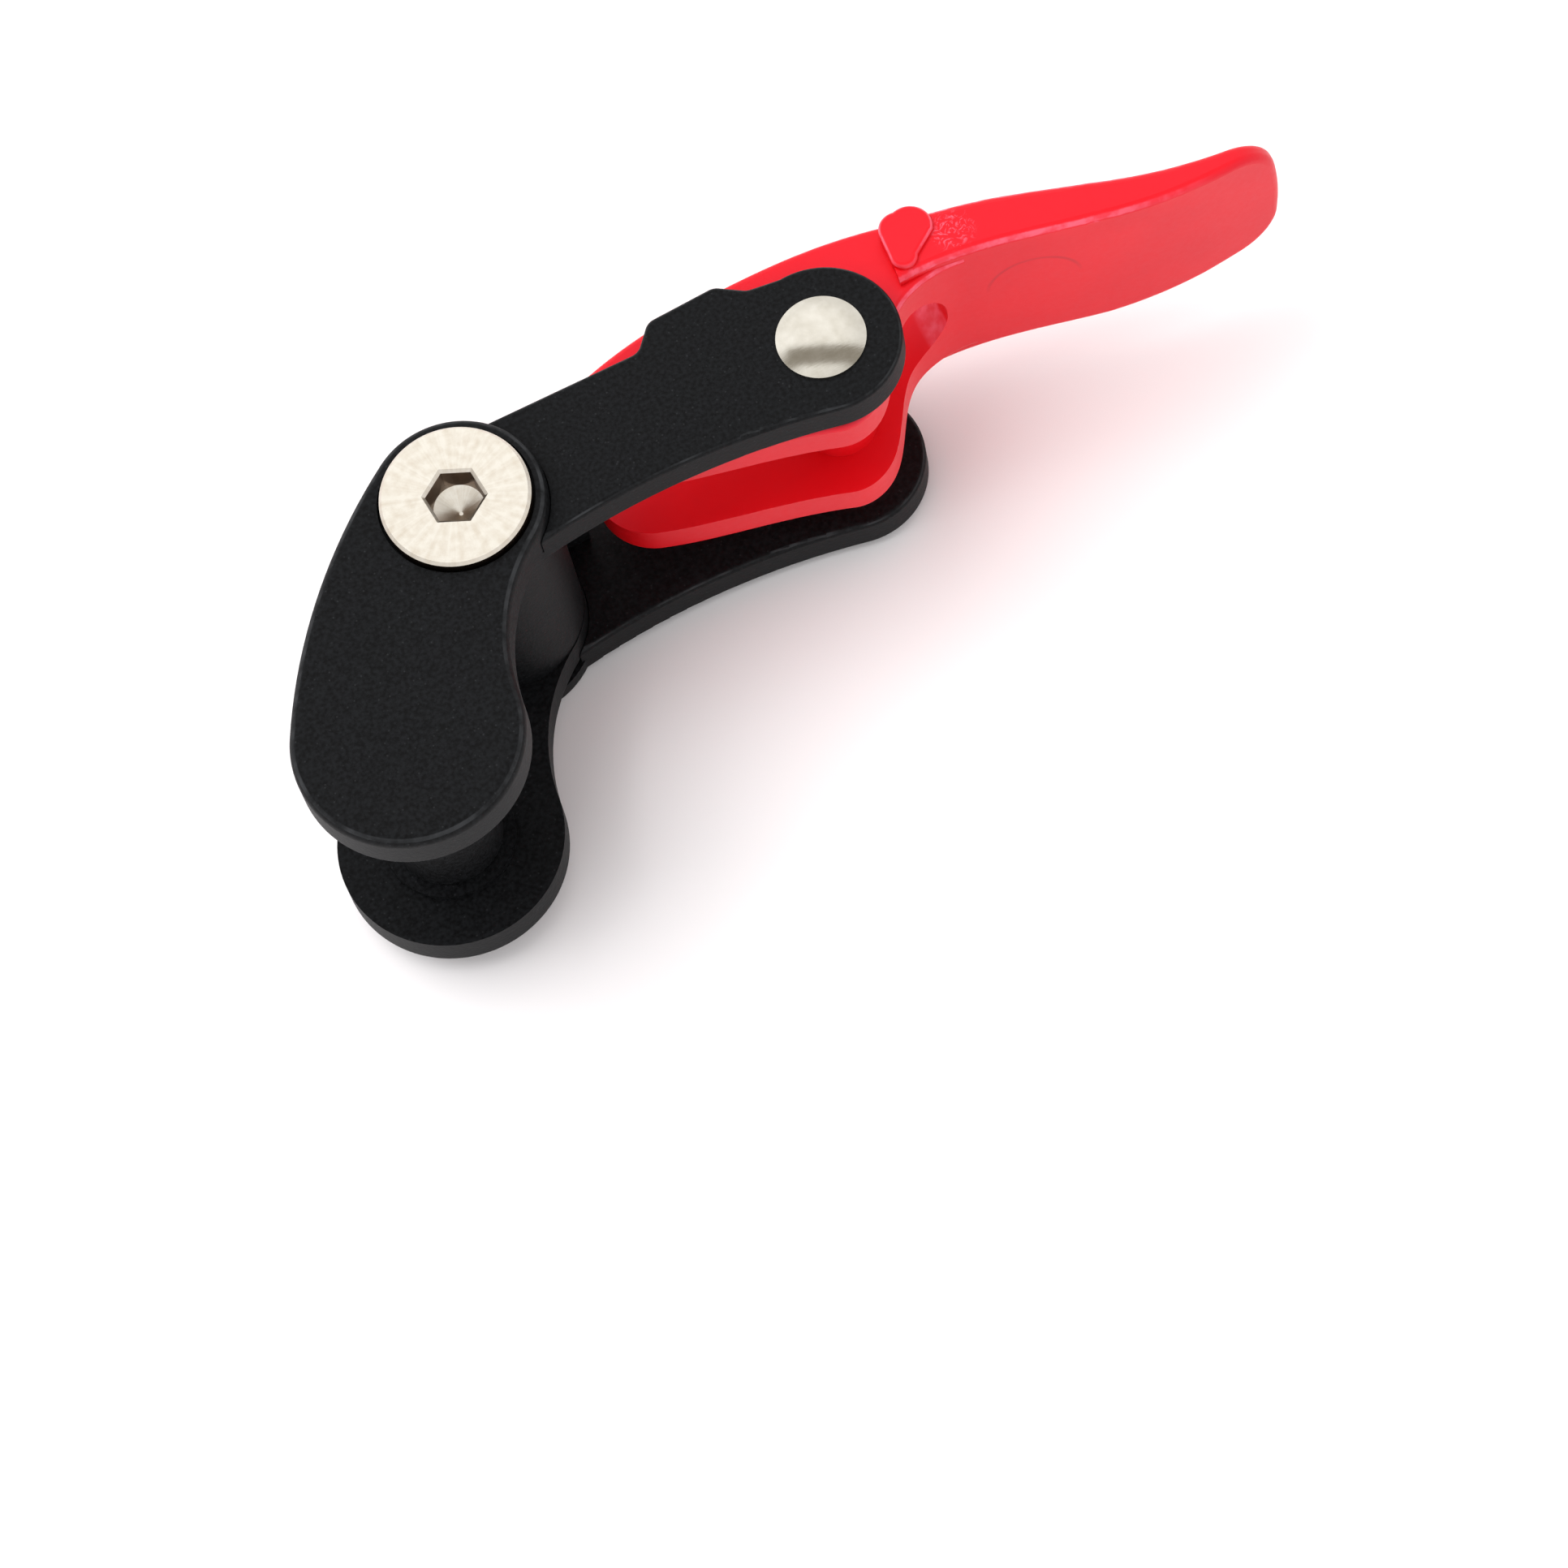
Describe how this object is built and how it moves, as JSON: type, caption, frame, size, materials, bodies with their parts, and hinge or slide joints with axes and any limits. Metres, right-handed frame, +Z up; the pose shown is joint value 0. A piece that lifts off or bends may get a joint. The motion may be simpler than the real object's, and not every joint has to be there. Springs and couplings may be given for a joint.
{
  "type": "hand-lever strap clasp",
  "caption": "Elbow-shaped black clasp with a strap roller between two cheeks and a forked red finger lever riveted between two arms.",
  "frame": {"origin": "on the elbow screw's axis, in the outer face of the lower screw head, which the clasp lies on", "axes": "+X from the elbow screw to the lever pivot, +Y to the outer side of the elbow, +Z up along the screw"},
  "size_m": [0.115, 0.0438, 0.0351],
  "materials": {
    "black_nylon": "fine-grained matte moulding",
    "black_acetal": "smooth satin moulding",
    "red_plastic": "satin moulding",
    "nickel_plate": "turned face, nickel plated",
    "polished_rivet": "polished nickel dome",
    "plain_steel": "ground pin"
  },
  "bodies": {
    "body": {"arm_bracket": "black_nylon", "upper_cheek": "black_nylon", "lower_cheek": "black_nylon", "lower_arm": "black_nylon", "elbow_screw": "nickel_plate", "elbow_sleeve_nut": "nickel_plate", "roller_pin": "plain_steel", "lever_pin": "polished_rivet", "lever_pin_cap": "polished_rivet"},
    "lever": {"finger_lever": "red_plastic"},
    "roller": {"anchor_roller": "black_acetal"}
  },
  "joints": [
    {"name": "lever_pivot", "type": "hinge", "parent": "body", "child": "lever", "pos_m": [0.0392, 0, 0.0186], "axis": [0, 0, 1], "range_deg": [0, 18]},
    {"name": "roller_spin", "type": "hinge", "parent": "body", "child": "roller", "pos_m": [-0.0143, -0.02035, 0.0186], "axis": [0, 0, 1], "continuous": true}
  ]
}
